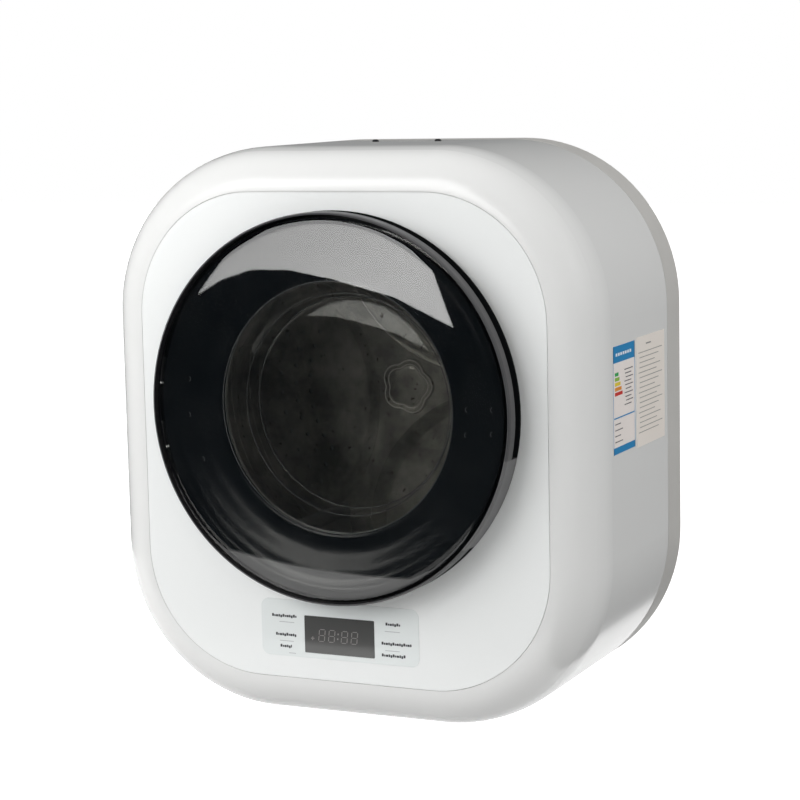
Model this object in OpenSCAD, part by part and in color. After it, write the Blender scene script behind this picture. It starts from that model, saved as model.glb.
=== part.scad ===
// Wall-hung drum clothes dryer with a round dome door.
// Row frame: X to the viewer's right, Z up, the front faces -Y and the wall is the plane Y = 0.
// Most modules draw lying down, as (x, up, distance from the wall), and from_wall() stands them up.

/* [Body] */
// Width of the cabinet
body_w = 550; // [545:1:560]
// Height of the cabinet
body_h = 600; // [595:1:612]
// Depth from the wall to the front panel's face
body_d = 280; // [280:1:284]
// Outer corner radius of the cabinet, seen from the front
corner_r = 176.5; // [172:0.5:180]
// Width of the rounded border around the front panel
bezel_w = 44.5; // [43.5:0.5:46]
// Depth over which the border rounds back to the sides
bezel_d = 60; // [58:1:62]
// Radius of the border's front arc
bezel_r = 42; // [40:0.5:42.5]
// Depth of the grey rear cover's rim
rear_d = 42; // [38:1:44]
// Thickness of the moulded cabinet walls
wall = 2.5; // [2:0.1:3]
// Thickness of the front panel
panel_t = 3; // [2.5:0.1:3.5]
// Visible gap between cabinet panels
seam = 0.5; // [0.3:0.1:0.8]

/* [Door] */
// Height of the door and drum axis above the wall pattern's centre
axis_z = 34.5; // [32:0.5:36]
// Outer radius of the door ring
door_r = 202.3; // [201:0.1:203]
// Distance that the door ring's rim stands in front of the panel
door_d = 31.5; // [30:0.5:33]
// Height of the lens's crown above the ring's rim
lens_crown = 19.5; // [16:0.5:22]
// Width of the dark groove between the lens and the ring
groove_w = 3.3; // [2.5:0.1:3.6]
// Depth of the ring's finger groove
finger_t = 5; // [4:0.5:6]
// Radius of the lens's rounded edge
lens_edge_r = 3.5; // [3.5:0.5:5]
// Radius of the window in the door's black frame
window_r = 131; // [129:0.5:132]
// Radius of the glass bowl's bottom
bowl_r = 114; // [108:0.5:115]
// Depth of the glass bowl behind the front panel's face
bowl_d = 40; // [36:0.5:42]
// Height of the dome in the glass bowl's bottom
bowl_crown = 10; // [6:0.5:12]
// Angle below horizontal at which the door's grip starts
grip_start = 12; // [8:1:16]
// Angle that the door's grip covers
grip_sweep = 30; // [24:1:34]
// Distance of the hinge axis from the door's centre
hinge_x = 200; // [199.5:0.1:201]
// Distance of the hinge axis in front of the panel
hinge_d = 12; // [11.5:0.1:12.5]
// Height of each hinge station above or below the door's centre
hinge_z = 34; // [32:1:40]
// Radius of the hinge pins
pin_r = 2.5; // [2.4:0.1:2.6]

/* [Drum] */
// Outer radius of the drum
drum_r = 190; // [188:1:191]
// Distance of the drum's back plate from the wall
drum_back_d = 98; // [97:0.5:100]
// Distance of the drum's front edge from the wall
drum_front_d = 248; // [246:0.5:249]
// Radius of the mouth in the drum's front ring
drum_mouth_r = 151; // [149:0.5:153]
// Height of the drum's lifting baffles
baffle_h = 32; // [26:1:34]
// Radius of the drum shaft
shaft_r = 8; // [7:0.5:9]
// Number of air holes in each of the drum back's nine short rows
back_holes = 9; // [5:1:10]
// Height of the flower-shaped hub cap
hub_h = 5; // [4:0.5:6]

/* [Drive] */
// Distance of the motor axis left of the drum axis
motor_x = 100; // [96:1:102]
// Distance of the motor axis below the wall pattern's centre
motor_z = 213; // [210:1:215]
// Radius of the motor's housing
motor_r = 44; // [40:1:46]
// Radius of the motor shaft
rotor_r = 5; // [4.5:0.1:5.5]
// Radius of the motor's belt pulley
pulley_r = 11; // [10:0.5:12]
// Width of the drive belt
belt_w = 12; // [10:1:13]
// Thickness of the drive belt
belt_t = 2.5; // [2:0.1:3]
// Gap between the belt and what it runs on
belt_gap = 0.4; // [0.3:0.1:0.5]
// Number of blades on the blower wheel
blades = 20; // [16:1:24]

/* [Air path] */
// Outer radius of the exhaust collar
exhaust_r = 40; // [38:0.5:41]
// Thickness of the exhaust collar's wall
exhaust_t = 2; // [1.5:0.1:2.5]
// Half the width of the lint filter's lid
lid_x = 80; // [76:1:84]
// Half the width of the lint filter's frame
filter_x = 70; // [66:1:72]
// Height of the lint filter's frame
filter_h = 180; // [170:1:182]
// Thickness of the sheet-metal ducts
duct_t = 1.5; // [1.2:0.1:2]

/* [Controls] */
// Width of the control panel's film
film_w = 182; // [174:1:186]
// Height of the control panel's film
film_h = 61; // [58:1:63]
// Width of the display window
display_w = 81; // [78:1:84]
// Height of the display window
display_h = 40; // [38:1:42]
// Distance of the display window's centre below the film's centre
display_drop = 5; // [3:0.5:6]
// Distance of the control panel's centre left of the middle
panel_x = 5.5; // [4:0.5:7]
// Distance of the control panel's centre below the wall pattern's centre
panel_z = 202; // [200:1:204]

/* [Wall mount] */
// Distance between the wall anchors, side to side
anchor_w = 320; // [310:1:330]
// Distance between the wall anchors, up and down
anchor_h = 200; // [190:1:210]
// Radius of the wall anchor holes
anchor_r = 5.5; // [4.5:0.1:6]

/* [Hidden] */
$fn = 96;

// cabinet outline
corner_x = body_w / 2 - corner_r;
corner_z = body_h / 2 - corner_r;
seam_r = corner_r - bezel_w;
side_r = (bezel_w * bezel_w + bezel_d * bezel_d - 2 * bezel_d * bezel_r) / (2 * (bezel_w - bezel_r));
arc_x = side_r - bezel_w;
arc_d = bezel_d - bezel_r;
arc_len = sqrt(arc_x * arc_x + arc_d * arc_d);
bezel_back = body_d - bezel_d;
cover_t = 2.5;
cover_back = 3;
cover_flange_r = corner_r - 24;
cover_flange_d = cover_back + cover_t;
cover_screw_in = 14;
rear_panel_r = corner_r - wall - 3.6;
lip_t = 3;
lip_r = corner_r - wall - 0.3 - lip_t;
screw_gap = 0.05;
panel_back = body_d - panel_t;

// front bulkhead, mouth and rear bulkhead
bulkhead_t = 1.2;
front_bulk_d = 260;
mouth_r = 150;
back_t = 1.6;
star_h = 9;
star_x = 200;
star_in = 36;
collar_r = 146;
rear_bulk_d = 84;
side_gap = 3;

// door, as distances from the wall and radii about the door axis
gap = 0.3;
door_back_d = body_d + 1;
rim_d = body_d + door_d;
ring_r0 = door_r - 8.8;
lip_in = door_r - 2.6;
lens_r = lip_in - groove_w;
shelf_r = lens_r - 3;
finger_d0 = body_d + 4;
finger_d1 = body_d + 17;
shelf_d = rim_d - 12;
lens_t = 3;
lens_top = rim_d + lens_crown;
lens_span = lens_r - lens_edge_r;
lens_fall = lens_top - rim_d + 2.7;
lens_big_r = (lens_span * lens_span + lens_fall * lens_fall - lens_edge_r * lens_edge_r)
    / (2 * (lens_fall - lens_edge_r));
lens_mid_d = lens_top - lens_big_r;
lens_edge_d = lens_mid_d + sqrt(pow(lens_big_r - lens_edge_r, 2) - lens_span * lens_span);
back_plate_d = body_d + 3;
flange_d = body_d + 0.5;
glass_t = 3;
bowl_step_d = body_d - bowl_d / 2;
step_r = window_r + 13;
bowl_dome_r = (bowl_r * bowl_r + bowl_crown * bowl_crown) / (2 * bowl_crown);
hinge_y = body_d + hinge_d;
knuckle_r = 4.5;
knuckle_l = 16;
ear_t = 3;
notch = 14;
bore_gap = 0.05;
strike_x = 168;
screw_count = 8;
screw_ring = 178;

// drive
belt_d = 207;
pulley_d0 = 198;
pulley_d1 = 216;
motor_d0 = 98;
motor_d1 = 182;
wheel_d0 = 58;
wheel_d1 = 80;
wheel_r = 52;
blower_r = 64;
blower_d0 = 54;
outlet_x = 60;
outlet_z = 222;
drive_len = sqrt(motor_x * motor_x + pow(axis_z + motor_z, 2));
drive_dir = atan2(-(axis_z + motor_z), -motor_x);
wrap = acos((drum_r - pulley_r) / drive_len);

// air path
chute_x = 76;
chute_z0 = 112;
chute_d0 = 52;
chute_d1 = 82;
filter_d = 70;
filter_t = 8;
lid_d0 = 50;
lid_d1 = 86;
duct_x0 = -136;
duct_x1 = -36;
duct_z0 = -268;
duct_z1 = 195;
duct_d0 = 30;
heater_x0 = 50;
heater_x1 = 205;
heater_z0 = -78;
heater_z1 = 104;
heater_d0 = 50;

// ---- helpers ----

module from_wall() rotate([90, 0, 0]) children();

module at_drum() from_wall() translate([0, axis_z, 0]) children();

module at_motor() from_wall() translate([-motor_x, -motor_z, 0]) children();

module box(x0, x1, z0, z1, d0, d1) translate([x0, z0, d0]) cube([x1 - x0, z1 - z0, d1 - d0]);

module disc(r, d0, d1) translate([0, 0, d0]) cylinder(r = r, h = d1 - d0);

module ring(r1, r0, d0, d1) {
    difference() {
        disc(r1, d0, d1);
        disc(r0, d0 - 1, d1 + 1);
    }
}

// a flat rounded rectangle with true corner arcs
module rounded(w, h, r) {
    square([w - 2 * r, h], center = true);
    square([w, h - 2 * r], center = true);
    for (sx = [-1, 1], sz = [-1, 1]) translate([sx * (w / 2 - r), sz * (h / 2 - r)]) circle(r = r);
}

module cabinet_slab(r, d0, d1) {
    translate([0, 0, d0]) linear_extrude(d1 - d0) rounded(2 * (corner_x + r), 2 * (corner_z + r), r);
}

// carries a flat (radius, distance) profile round the cabinet's outline
module round_cabinet() {
    for (sx = [0, 1], sz = [0, 1]) mirror([sx, 0, 0]) mirror([0, sz, 0])
        translate([corner_x, corner_z, 0]) rotate_extrude(angle = 90) children();
    for (s = [0, 1]) {
        mirror([0, s, 0]) translate([-corner_x, corner_z, 0])
            rotate([90, 0, 90]) linear_extrude(2 * corner_x) children();
        mirror([s, 0, 0]) translate([corner_x, corner_z, 0])
            rotate([90, 0, 0]) linear_extrude(2 * corner_z) children();
    }
}

// the border's outline, moved inwards by t: two arcs that meet smoothly
module bezel_outline(t) {
    meet = arc_d + (bezel_r - t) * arc_d / arc_len;
    translate([seam_r, bezel_back]) {
        intersection() {
            translate([0, arc_d]) circle(r = bezel_r - t);
            translate([0, meet]) square([bezel_w, bezel_d]);
        }
        intersection() {
            translate([-arc_x, 0]) circle(r = side_r - t, $fn = 360);
            square([bezel_w, meet]);
        }
    }
    translate([0, rear_d + seam / 2 - 2 * t]) square([corner_r - t, bezel_back - rear_d - seam / 2 + 2 * t]);
}

// ---- cabinet ----

module cabinet_shell() color("#eef0f1") from_wall() {
    difference() {
        union() {
            round_cabinet() {
                difference() {
                    bezel_outline(0);
                    bezel_outline(wall);
                    square([seam_r, body_d + 1]);
                }
            }
            round_cabinet() translate([seam_r - 16, body_d - 6]) square([19, panel_t]);
            round_cabinet() translate([seam_r, body_d - 6]) square([3, 5]);
        }
        box(-lid_x - seam, lid_x + seam, body_h / 2 - 6, body_h / 2 + 1, lid_d0 - seam, lid_d1 + seam);
        for (s = [-1, 1]) translate([s * 37, body_h / 2 - 6, 98])
            rotate([-90, 0, 0]) cylinder(r = 2.2, h = 8);
    }
}

module top_plugs() color("#2b2d2f") from_wall() {
    for (s = [-1, 1]) translate([s * 37, body_h / 2 - 5, 98]) rotate([-90, 0, 0]) {
        cylinder(r = 2, h = 5);
        cylinder(r = 3.5, h = 2);
    }
}

module front_panel() color("#f1f3f5") from_wall() {
    difference() {
        cabinet_slab(seam_r - seam, panel_back, body_d);
        translate([0, axis_z, 0]) {
            disc(mouth_r, panel_back - 1, body_d + 1);
            for (s = [-1, 1]) box(-hinge_x - 7, -hinge_x + 7, s * hinge_z - notch, s * hinge_z + notch,
                panel_back - 1, body_d + 1);
            box(strike_x - 12, strike_x + 12, -11, 11, panel_back - 1, body_d + 1);
        }
    }
}

// eight places along the cover's flange
module at_cover_screws() {
    reach = (corner_r - cover_screw_in) * sqrt(0.5);
    for (s = [-1, 1]) {
        translate([s * (body_w / 2 - cover_screw_in), 0, 0]) children();
        translate([0, s * (body_h / 2 - cover_screw_in), 0]) children();
        for (sz = [-1, 1]) translate([s * (corner_x + reach), sz * (corner_z + reach), 0]) children();
    }
}

module at_bracket_screws() {
    for (sx = [-1, 1], sz = [-1, 1]) translate([sx * 110, sz * (anchor_h / 2 - 2), 0]) children();
}

module rear_cover() color("#a9a8a4") from_wall() {
    difference() {
        round_cabinet() {
            translate([corner_r - cover_t, 0]) square([cover_t, rear_d - seam / 2]);
            translate([lip_r, cover_back]) square([lip_t, rear_d + 2]);
            translate([lip_r, cover_back]) square([corner_r - 1 - lip_r, rear_d - 10]);
            translate([cover_flange_r, cover_flange_d]) square([corner_r - 1 - cover_flange_r, cover_t]);
        }
        at_cover_screws() disc(1.9 + screw_gap, 0, 12);
        box(-lid_x - seam, lid_x + seam, body_h / 2 - 8, body_h / 2 + 1, lid_d0 - 1, lid_d1);
    }
}

module rear_panel() color("#b3b2ae") from_wall() {
    difference() {
        union() {
            cabinet_slab(rear_panel_r, cover_back, cover_flange_d);
            at_bracket_screws() disc(7, cover_back, 9);
        }
        for (sx = [-1, 1], sz = [-1, 1]) translate([sx * anchor_w / 2, sz * anchor_h / 2, 0]) disc(12, 0, 12);
        box(outlet_x - exhaust_r - 12, outlet_x + exhaust_r + 12, -body_h / 2, -outlet_z + exhaust_r + 12, 0, 12);
        translate([170, -206, 0]) disc(9, 0, 12);
        at_cover_screws() disc(1.9 + screw_gap, 0, 12);
        at_bracket_screws() disc(2.4 + screw_gap, 0, 20);
        for (s = [-1, 1], i = [0:7])
            box(s * 210 - 22, s * 210 + 22, -70 + i * 12, -65 + i * 12, 0, 12);
    }
}

// the screws of the rear panel and, larger, of the wall bracket
module case_screws() color("#c9ccce") from_wall() {
    at_cover_screws() {
        disc(3.8, 1.8, cover_back);
        disc(1.9, cover_back, 12);
    }
    at_bracket_screws() {
        disc(5, 0.2, 1.5);
        disc(2.4, 1.5, 12);
    }
}

module wall_bracket() color("#b9bdc0") from_wall() {
    difference() {
        union() {
            for (s = [-1, 1]) box(-185, 185, s * anchor_h / 2 - 20, s * anchor_h / 2 + 20, 0, 3);
            for (s = [-1, 1]) box(s * 110 - 18, s * 110 + 18, -anchor_h / 2, anchor_h / 2, 0, 3);
        }
        for (sx = [-1, 1], sz = [-1, 1]) translate([sx * anchor_w / 2, sz * anchor_h / 2, 0])
            disc(anchor_r, -1, 4);
        at_bracket_screws() {
            disc(5.2, -1, 1.5);
            disc(2.4 + screw_gap, -1, 4);
        }
    }
}

module cable_gland() color("#2c2e30") from_wall() translate([170, -206, 0]) {
    difference() {
        union() {
            disc(13, 1.5, cover_back);
            disc(8.8, cover_back, 22);
            disc(12, cover_back + cover_t, 10);
        }
        disc(4, 0, 30);
    }
}

// ---- frame inside the cabinet ----

module front_bulkhead() color("#c3c6c8") from_wall() {
    difference() {
        union() {
            cabinet_slab(corner_r - wall - side_gap - 26, front_bulk_d - bulkhead_t, front_bulk_d);
            translate([0, axis_z, 0]) disc(collar_r + 3, front_bulk_d - bulkhead_t, panel_back - gap);
        }
        translate([0, axis_z, 0]) disc(collar_r, front_bulk_d - 10, body_d);
        box(-70, 60, -body_h / 2, -170, front_bulk_d - 10, body_d);
    }
}

module rear_bulkhead() color("#b7babc") from_wall() {
    difference() {
        cabinet_slab(corner_r - wall - side_gap - 3, rear_bulk_d, rear_bulk_d + bulkhead_t);
        translate([0, axis_z, 0]) disc(17, rear_bulk_d - 1, rear_bulk_d + 5);
        for (i = [-2:2], j = [0:4]) box(i * 24 - 8, i * 24 + 8, 128 + j * 15, 136 + j * 15,
            rear_bulk_d - 1, rear_bulk_d + 5);
        for (i = [0:4], j = [0:7]) box(66 + i * 26, 82 + i * 26, -60 + j * 18, -50 + j * 18,
            rear_bulk_d - 1, rear_bulk_d + 5);
        translate([-motor_x, -motor_z, 0]) disc(16, rear_bulk_d - 1, rear_bulk_d + 5);
    }
}

module bearing_housing() color("#9da1a4") at_drum() {
    ring(22, 15, 62, rear_bulk_d - 1);
    ring(34, 15, rear_bulk_d - 3, rear_bulk_d);
    for (a = [0:5]) rotate(a * 60) box(20, 33, -1.5, 1.5, 68, rear_bulk_d - 2);
}

module drum_bearing() color("#c8b06a") at_drum() ring(14.95, shaft_r + bore_gap, 62, 82);

module felt_seal() color("#d9d6cc") at_drum()
    ring(170, drum_mouth_r + 3, drum_front_d + gap, front_bulk_d - bulkhead_t);

// ---- controls ----

module control_overlay() color("#e9ecef") from_wall() translate([-panel_x, -panel_z, 0]) {
    difference() {
        translate([0, 0, body_d]) linear_extrude(0.4) rounded(film_w, film_h, 9);
        translate([0, -display_drop, body_d - 1]) linear_extrude(3) rounded(display_w, display_h, 1);
    }
}

module display_window() color("#4b4b49") from_wall() translate([-panel_x, -panel_z - display_drop, 0]) {
    translate([0, 0, body_d]) linear_extrude(0.6) rounded(display_w - 0.4, display_h - 0.4, 1);
}

module display_board() color("#2f6b45") from_wall() translate([-panel_x, -panel_z, 0]) {
    box(-84, 84, -26, 26, 266, 267.6);
    box(-36, 36, -15 - display_drop, 15 - display_drop, 267.6, panel_back - gap);
    for (sx = [-1, 1], sz = [-1, 1]) translate([sx * 60, sz * 10, 0]) disc(6, 267.6, panel_back - gap);
    for (sx = [-1, 1], sz = [-1, 1]) translate([sx * 79, sz * 21, 0]) disc(3, 260, 266);
}

module board_tray() color("#d7d9da") from_wall() {
    difference() {
        box(84, 196, -252, -172, 120, 232);
        box(86, 194, -250, -170, 122, 233);
    }
}

module main_board() color("#2f6b45") from_wall() {
    for (x = [92, 188], d = [132, 222]) translate([x, -250, d]) rotate([-90, 0, 0]) cylinder(r = 3, h = 10);
    box(88, 192, -240, -238.4, 126, 228);
    box(96, 128, -238.4, -216, 134, 160);
    box(134, 150, -238.4, -212, 140, 166);
    for (i = [0:3]) translate([102 + i * 16, -238.4, 196]) rotate([-90, 0, 0]) cylinder(r = 6, h = 22);
    box(160, 186, -238.4, -224, 176, 222);
}

// ---- drive ----

module motor_housing() color("#8e9294") at_motor() {
    difference() {
        union() {
            disc(motor_r, motor_d0 + 8, motor_d1 - 8);
            disc(motor_r - 10, motor_d0 + 3, motor_d1 - 3);
            disc(14, motor_d0, motor_d1);
            for (a = [0:11]) rotate(a * 30)
                box(motor_r - 2, motor_r + 1.2, -1.5, 1.5, motor_d0 + 14, motor_d1 - 14);
        }
        disc(rotor_r + bore_gap, motor_d0 - 1, motor_d1 + 1);
    }
}

module motor_mount() color("#aeb2b4") at_motor() {
    difference() {
        union() {
            for (d = [motor_d0 + 14, motor_d1 - 20]) box(-30, 30, -80, -30, d, d + 3);
            box(-34, 34, -80.4, -77.4, motor_d0 - 4, motor_d1 + 4);
        }
        disc(motor_r + 1.6, motor_d0, motor_d1);
    }
}

module motor_capacitor() color("#d3d5d6") from_wall() {
    translate([-22, -236, 0]) disc(17, 100, 168);
    translate([-22, -236, 0]) disc(12, 168, 174);
    for (s = [-1, 1]) box(-22 + s * 6 - 2.5, -22 + s * 6 + 2.5, -237, -235, 174, 182);
    box(-42, -2, -268, -252, 118, 150);
}

module motor_shaft() color("#c9ccce") at_motor() disc(rotor_r, 56, 220);

module motor_pulley() color("#6f7375") at_motor() {
    difference() {
        union() {
            disc(pulley_r, pulley_d0, pulley_d1);
            disc(pulley_r + 4, pulley_d0 - 2, pulley_d0);
            disc(pulley_r + 4, pulley_d1, pulley_d1 + 2);
        }
        disc(rotor_r, 190, 220);
    }
}

// the loop that a belt lying a above both wheels encloses
module belt_loop(a) {
    translate([0, axis_z]) circle(r = drum_r + a, $fn = 180);
    translate([-motor_x, -motor_z]) circle(r = pulley_r + a);
    polygon([for (p = [[0, 1], [0, -1], [1, -1], [1, 1]])
        [-motor_x * p[0] + ((p[0] == 0 ? drum_r : pulley_r) + a) * cos(drive_dir + p[1] * wrap),
        (p[0] == 0 ? axis_z : -motor_z) + ((p[0] == 0 ? drum_r : pulley_r) + a) * sin(drive_dir + p[1] * wrap)]]);
}

module drive_belt() color("#232425") from_wall() translate([0, 0, belt_d - belt_w / 2]) {
    linear_extrude(belt_w) {
        difference() {
            belt_loop(belt_gap + belt_t);
            belt_loop(belt_gap);
        }
    }
}

module blower_wheel() color("#d9dbdc") at_motor() {
    ring(wheel_r, rotor_r, wheel_d1 - 2, wheel_d1);
    ring(12, rotor_r, wheel_d0 + 2, wheel_d1);
    ring(wheel_r, wheel_r - 12, wheel_d0, wheel_d0 + 2);
    for (i = [0:blades - 1]) rotate(i * 360 / blades) translate([wheel_r - 7, 0, wheel_d0 + 1])
        rotate(38) translate([-6, -0.8, 0]) cube([12, 1.6, wheel_d1 - wheel_d0 - 2]);
}

// the blower's inside, grown by t
module blower_space(t, d0, d1) {
    translate([-motor_x, -motor_z, 0]) disc(blower_r + t, d0, d1);
    box(-motor_x, outlet_x + 46 + t, -motor_z - blower_r - t, -motor_z - 10 + t, d0, d1);
    box(outlet_x - 46 - t, outlet_x + 46 + t, -motor_z - blower_r - t, -outlet_z + 46 + t, d0, d1);
}

module blower_housing() color("#cfd2d3") from_wall() {
    difference() {
        blower_space(2, blower_d0, rear_bulk_d - 2);
        blower_space(0, blower_d0 + 2, rear_bulk_d);
        translate([-motor_x, -motor_z, 0]) disc(34, blower_d0 - 1, blower_d0 + 5);
        translate([outlet_x, -outlet_z, 0]) disc(exhaust_r - exhaust_t, blower_d0 - 1, blower_d0 + 5);
    }
}

module blower_cover() color("#bfc3c5") from_wall() {
    difference() {
        blower_space(2, rear_bulk_d - 2, rear_bulk_d - 0.4);
        translate([-motor_x, -motor_z, 0]) disc(14, rear_bulk_d - 5, rear_bulk_d + 5);
    }
}

// ---- air path ----

module exhaust_collar() color("#b4b8ba") from_wall() translate([outlet_x, -outlet_z, 0]) {
    ring(exhaust_r, exhaust_r - exhaust_t, 2, blower_d0);
    ring(exhaust_r + 5, exhaust_r - exhaust_t, blower_d0 - 2, blower_d0);
}

module exhaust_duct() color("#c5c8ca") from_wall() {
    difference() {
        box(duct_x0, duct_x1, duct_z0, duct_z1, duct_d0, chute_d0);
        box(duct_x0 + duct_t, duct_x1 - duct_t, duct_z0 + duct_t, duct_z1 - duct_t,
            duct_d0 + duct_t, chute_d0 - duct_t);
        box(-70, -40, 128, 186, chute_d0 - 5, chute_d0 + 1);
        translate([-motor_x, -motor_z, 0]) disc(34, chute_d0 - 5, chute_d0 + 1);
    }
    translate([-motor_x, -motor_z, 0]) ring(37, 34, chute_d0 - duct_t, blower_d0);
}

module filter_chute() color("#d2d4d5") from_wall() {
    difference() {
        box(-chute_x, chute_x, chute_z0, body_h / 2 - wall - gap, chute_d0, chute_d1);
        box(-chute_x + duct_t, chute_x - duct_t, chute_z0 + duct_t, body_h / 2, chute_d0 + duct_t,
            chute_d1 - duct_t);
        box(-62, 62, 124, 206, chute_d1 - 5, chute_d1 + 1);
        box(-70, -40, 128, 186, chute_d0 - 1, chute_d0 + 5);
    }
    ring_guides();
}

// rails beside the lint filter's frame
module ring_guides() {
    for (s = [-1, 1], e = [-1, 1]) box(s * 74.5 - 2.5, s * 74.5 + 2.5, chute_z0 + duct_t, 285,
        filter_d + e * (filter_t / 2 + 2) - 1, filter_d + e * (filter_t / 2 + 2) + 1);
}

module filter_lid() color("#e6e8ea") from_wall() {
    difference() {
        box(-lid_x, lid_x, body_h / 2 - wall + 0.2, body_h / 2, lid_d0, lid_d1);
        box(-16, 16, body_h / 2 - 1.4, body_h / 2 + 1, lid_d1 - 4, lid_d1 - 1.5);
    }
}

module filter_frame() color("#3f6f9a") from_wall() {
    top = body_h / 2 - wall + 0.2;
    difference() {
        box(-filter_x, filter_x, top - filter_h, top, filter_d - filter_t / 2, filter_d + filter_t / 2);
        for (s = [-1, 1]) box(s * 34 - 29, s * 34 + 29, top - filter_h + 8, top - 60,
            filter_d - filter_t, filter_d + filter_t);
    }
}

module filter_mesh() color("#9fb2bf") from_wall() {
    top = body_h / 2 - wall + 0.2;
    for (s = [-1, 1]) box(s * 34 - 29, s * 34 + 29, top - filter_h + 8, top - 60, filter_d - 0.4, filter_d + 0.4);
}

module heater_box() color("#bdc1c3") from_wall() {
    difference() {
        box(heater_x0, heater_x1, heater_z0, heater_z1, heater_d0, rear_bulk_d);
        box(heater_x0 + duct_t, heater_x1 - duct_t, heater_z0 + duct_t, heater_z1 - duct_t,
            heater_d0 + duct_t, rear_bulk_d + 1);
        box(heater_x0 + 12, heater_x1 - 12, heater_z0 - 1, heater_z0 + 5, heater_d0 + 8, heater_d0 + 26);
    }
}

module heater_elements() color("#7d5a4a") from_wall() {
    for (j = [0:5]) translate([heater_x0 + duct_t + 6, heater_z0 + 22 + j * 28, 66]) rotate([0, 90, 0])
        cylinder(r = 3.2, h = heater_x1 - heater_x0 - 2 * duct_t - 12);
    for (x = [heater_x0 + 6, heater_x1 - 12]) box(x, x + 6, heater_z0 + 10, heater_z1 - 10, 61, 71);
}

module thermal_cutout() color("#d8d3c4") from_wall() {
    translate([heater_x0 + 30, heater_z1 - 30, 0]) {
        disc(11, 44, heater_d0);
        disc(8, 38, 44);
    }
    for (s = [-1, 1]) box(heater_x0 + 30 + s * 4 - 1.5, heater_x0 + 30 + s * 4 + 1.5,
        heater_z1 - 33, heater_z1 - 27, 30, 38);
}

// ---- drum ----

module drum_shell() color("#7f8284") at_drum() {
    ring(drum_r, drum_r - 1.5, drum_back_d, drum_front_d);
    for (d = [drum_back_d + 24, drum_back_d + 66, drum_front_d - 20]) translate([0, 0, d]) rotate_extrude()
        translate([drum_r - 0.5, 0]) circle(r = 1.5, $fn = 32);
}

module drum_front_ring() color("#85888a") at_drum() {
    ring(drum_r - 1.5, drum_mouth_r, drum_front_d - 2, drum_front_d);
    translate([0, 0, drum_front_d - 3]) rotate_extrude() translate([drum_mouth_r + 1, 0]) circle(r = 3, $fn = 32);
}

// the raised three-armed star of the drum's back, its edges drawn in by t
module drum_star(t) translate([0, 0, drum_back_d]) linear_extrude(star_h) difference() {
    circle(r = 172 - t);
    for (a = [0:2]) rotate(65 + a * 120) translate([star_x, 0]) circle(r = star_x - star_in + t);
}

module drum_back() color("#6f7274") at_drum() {
    difference() {
        union() {
            disc(drum_r - 1.5, drum_back_d, drum_back_d + back_t);
            drum_star(0);
        }
        translate([0, 0, -back_t]) drum_star(back_t / 2);
        for (a = [0:2], k = [0:2], i = [0:back_holes - 1])
            rotate(65 + a * 120 + (i - (back_holes - 1) / 2) * 8 + k * 4)
                translate([124 + k * 18, 0, 0]) disc(2.2, drum_back_d - 1, drum_back_d + 12);
    }
}

// a rounded flower with five soft lobes
module flower(r) {
    circle(r = r * 0.9);
    for (i = [0:4]) rotate(2.5 + i * 72) translate([r * 0.55, 0]) circle(r = r * 0.45, $fn = 48);
}

module drum_hub() color("#7a7d7f") at_drum() translate([0, 0, drum_back_d + star_h]) {
    linear_extrude(hub_h) {
        difference() {
            flower(29);
            flower(24.5);
        }
    }
    linear_extrude(hub_h - 3) flower(25.5);
}

module drum_baffle(angle) color("#8b8e90") at_drum() rotate(angle) translate([0, 0, drum_back_d + star_h])
    linear_extrude(drum_front_d - drum_back_d - star_h - 7) {
        difference() {
            union() {
                translate([drum_r - 1.5 - baffle_h + 9, 0]) circle(r = 9);
                polygon([[drum_r - 1.5 - baffle_h + 9, -9], [drum_r - 3.6, -24], [drum_r - 3.6, 24],
                    [drum_r - 1.5 - baffle_h + 9, 9]]);
            }
            translate([drum_r - 1.5 - baffle_h + 11, 0]) circle(r = 6);
            polygon([[drum_r - 1.5 - baffle_h + 11, -6], [drum_r - 1, -20], [drum_r - 1, 20],
                [drum_r - 1.5 - baffle_h + 11, 6]]);
        }
    }

module drum_baffle_1() drum_baffle(0);

module drum_baffle_2() drum_baffle(120);

module drum_baffle_3() drum_baffle(240);

module drum_shaft() color("#c9ccce") at_drum() {
    disc(shaft_r, 60, drum_back_d);
    disc(shaft_r + 6, rear_bulk_d + bulkhead_t + 1, drum_back_d);
    disc(26, drum_back_d - 3, drum_back_d);
}

// ---- door ----

module door_ring() color("#8d8f90") at_drum() {
    difference() {
        union() {
            rotate_extrude() polygon([[ring_r0, door_back_d], [door_r - 0.4, door_back_d], [door_r, finger_d0 - 1],
                [door_r - 0.6, finger_d0], [door_r - finger_t, finger_d0 + 4], [door_r - finger_t, finger_d1 - 4],
                [door_r - 0.5, finger_d1 - 0.6], [door_r, finger_d1], [door_r - 0.2, rim_d - 4],
                [door_r - 0.9, rim_d - 0.8], [door_r - 1.5, rim_d], [lip_in, rim_d - 0.2], [lip_in, shelf_d],
                [ring_r0, shelf_d]]);
            rotate(-grip_start - grip_sweep) rotate_extrude(angle = grip_sweep)
                translate([door_r - finger_t - 1, finger_d0 - 1]) square([finger_t + 0.8, finger_d1 - finger_d0 + 2]);
        }
        for (s = [-1, 1]) box(-door_r - 5, -hinge_x + 17, s * hinge_z - notch, s * hinge_z + notch,
            body_d, hinge_y + 8);
    }
}

// the lens's outline, moved inwards by t
module lens_outline(t) {
    intersection() {
        translate([0, lens_mid_d]) circle(r = lens_big_r - t, $fn = 1440);
        translate([-1, shelf_d - t]) square([lens_span + 1 + (lens_edge_r - t) * lens_span / lens_big_r,
            lens_top]);
    }
    translate([lens_span, lens_edge_d]) circle(r = lens_edge_r - t, $fn = 64);
    translate([-1, shelf_d + 0.4 - t]) square([lens_r - t + 1, lens_edge_d - shelf_d - 0.4 + t]);
}

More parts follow.
